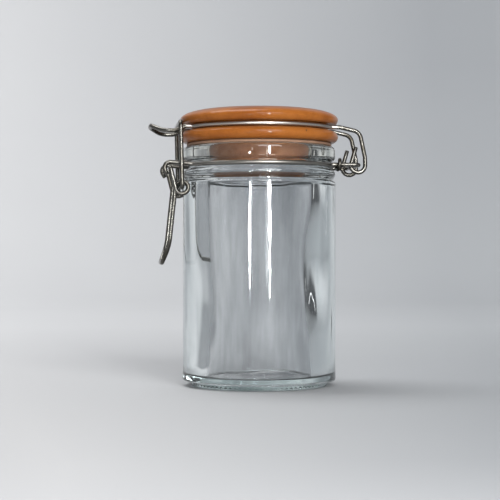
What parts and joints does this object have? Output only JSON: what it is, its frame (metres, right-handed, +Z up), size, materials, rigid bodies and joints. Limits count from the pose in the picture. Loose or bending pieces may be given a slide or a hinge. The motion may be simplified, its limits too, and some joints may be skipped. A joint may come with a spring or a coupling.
{
  "type": "lidded glass canister",
  "caption": "Small round glass jar with a hinged glazed lid on a rubber ring, held shut by a bent-wire lever and link.",
  "frame": {"origin": "on the jar's axis, on the plane that it stands on", "axes": "+Z up along the jar's axis; +X towards the hinge, so the latch is at -X"},
  "size_m": [0.0806, 0.0592, 0.103],
  "materials": {
    "clear_glass": "clear, glossy, slightly cool pressed glass",
    "orange_glaze": "glossy orange glaze, slightly mottled",
    "seal_rubber": "matte tan rubber",
    "steel_wire": "dull drawn steel wire, slightly tarnished"
  },
  "bodies": {
    "jar": {"glass_jar": "clear_glass", "neck_wire": "steel_wire", "neck_tie": "steel_wire"},
    "lid": {"lid": "orange_glaze", "gasket": "seal_rubber", "lid_wire": "steel_wire"},
    "lever": {"lever": "steel_wire"},
    "link": {"link": "steel_wire"}
  },
  "joints": [
    {"name": "lid_open", "type": "hinge", "parent": "jar", "child": "lid", "pos_m": [0.0358, 0, 0.0821], "axis": [0, 1, 0], "range_deg": [0, 110]},
    {"name": "lever_flip", "type": "hinge", "parent": "jar", "child": "lever", "pos_m": [-0.0338, 0, 0.08075], "axis": [0, 1, 0], "range_deg": [0, 150]},
    {"name": "link_swing", "type": "hinge", "parent": "lever", "child": "link", "pos_m": [-0.0296, 0, 0.0735], "axis": [0, 1, 0], "range_deg": [-142.5, 0]}
  ],
  "couplings": [
    {"joint": "link_swing", "follows": "lever_flip", "ratio": -0.95}
  ]
}
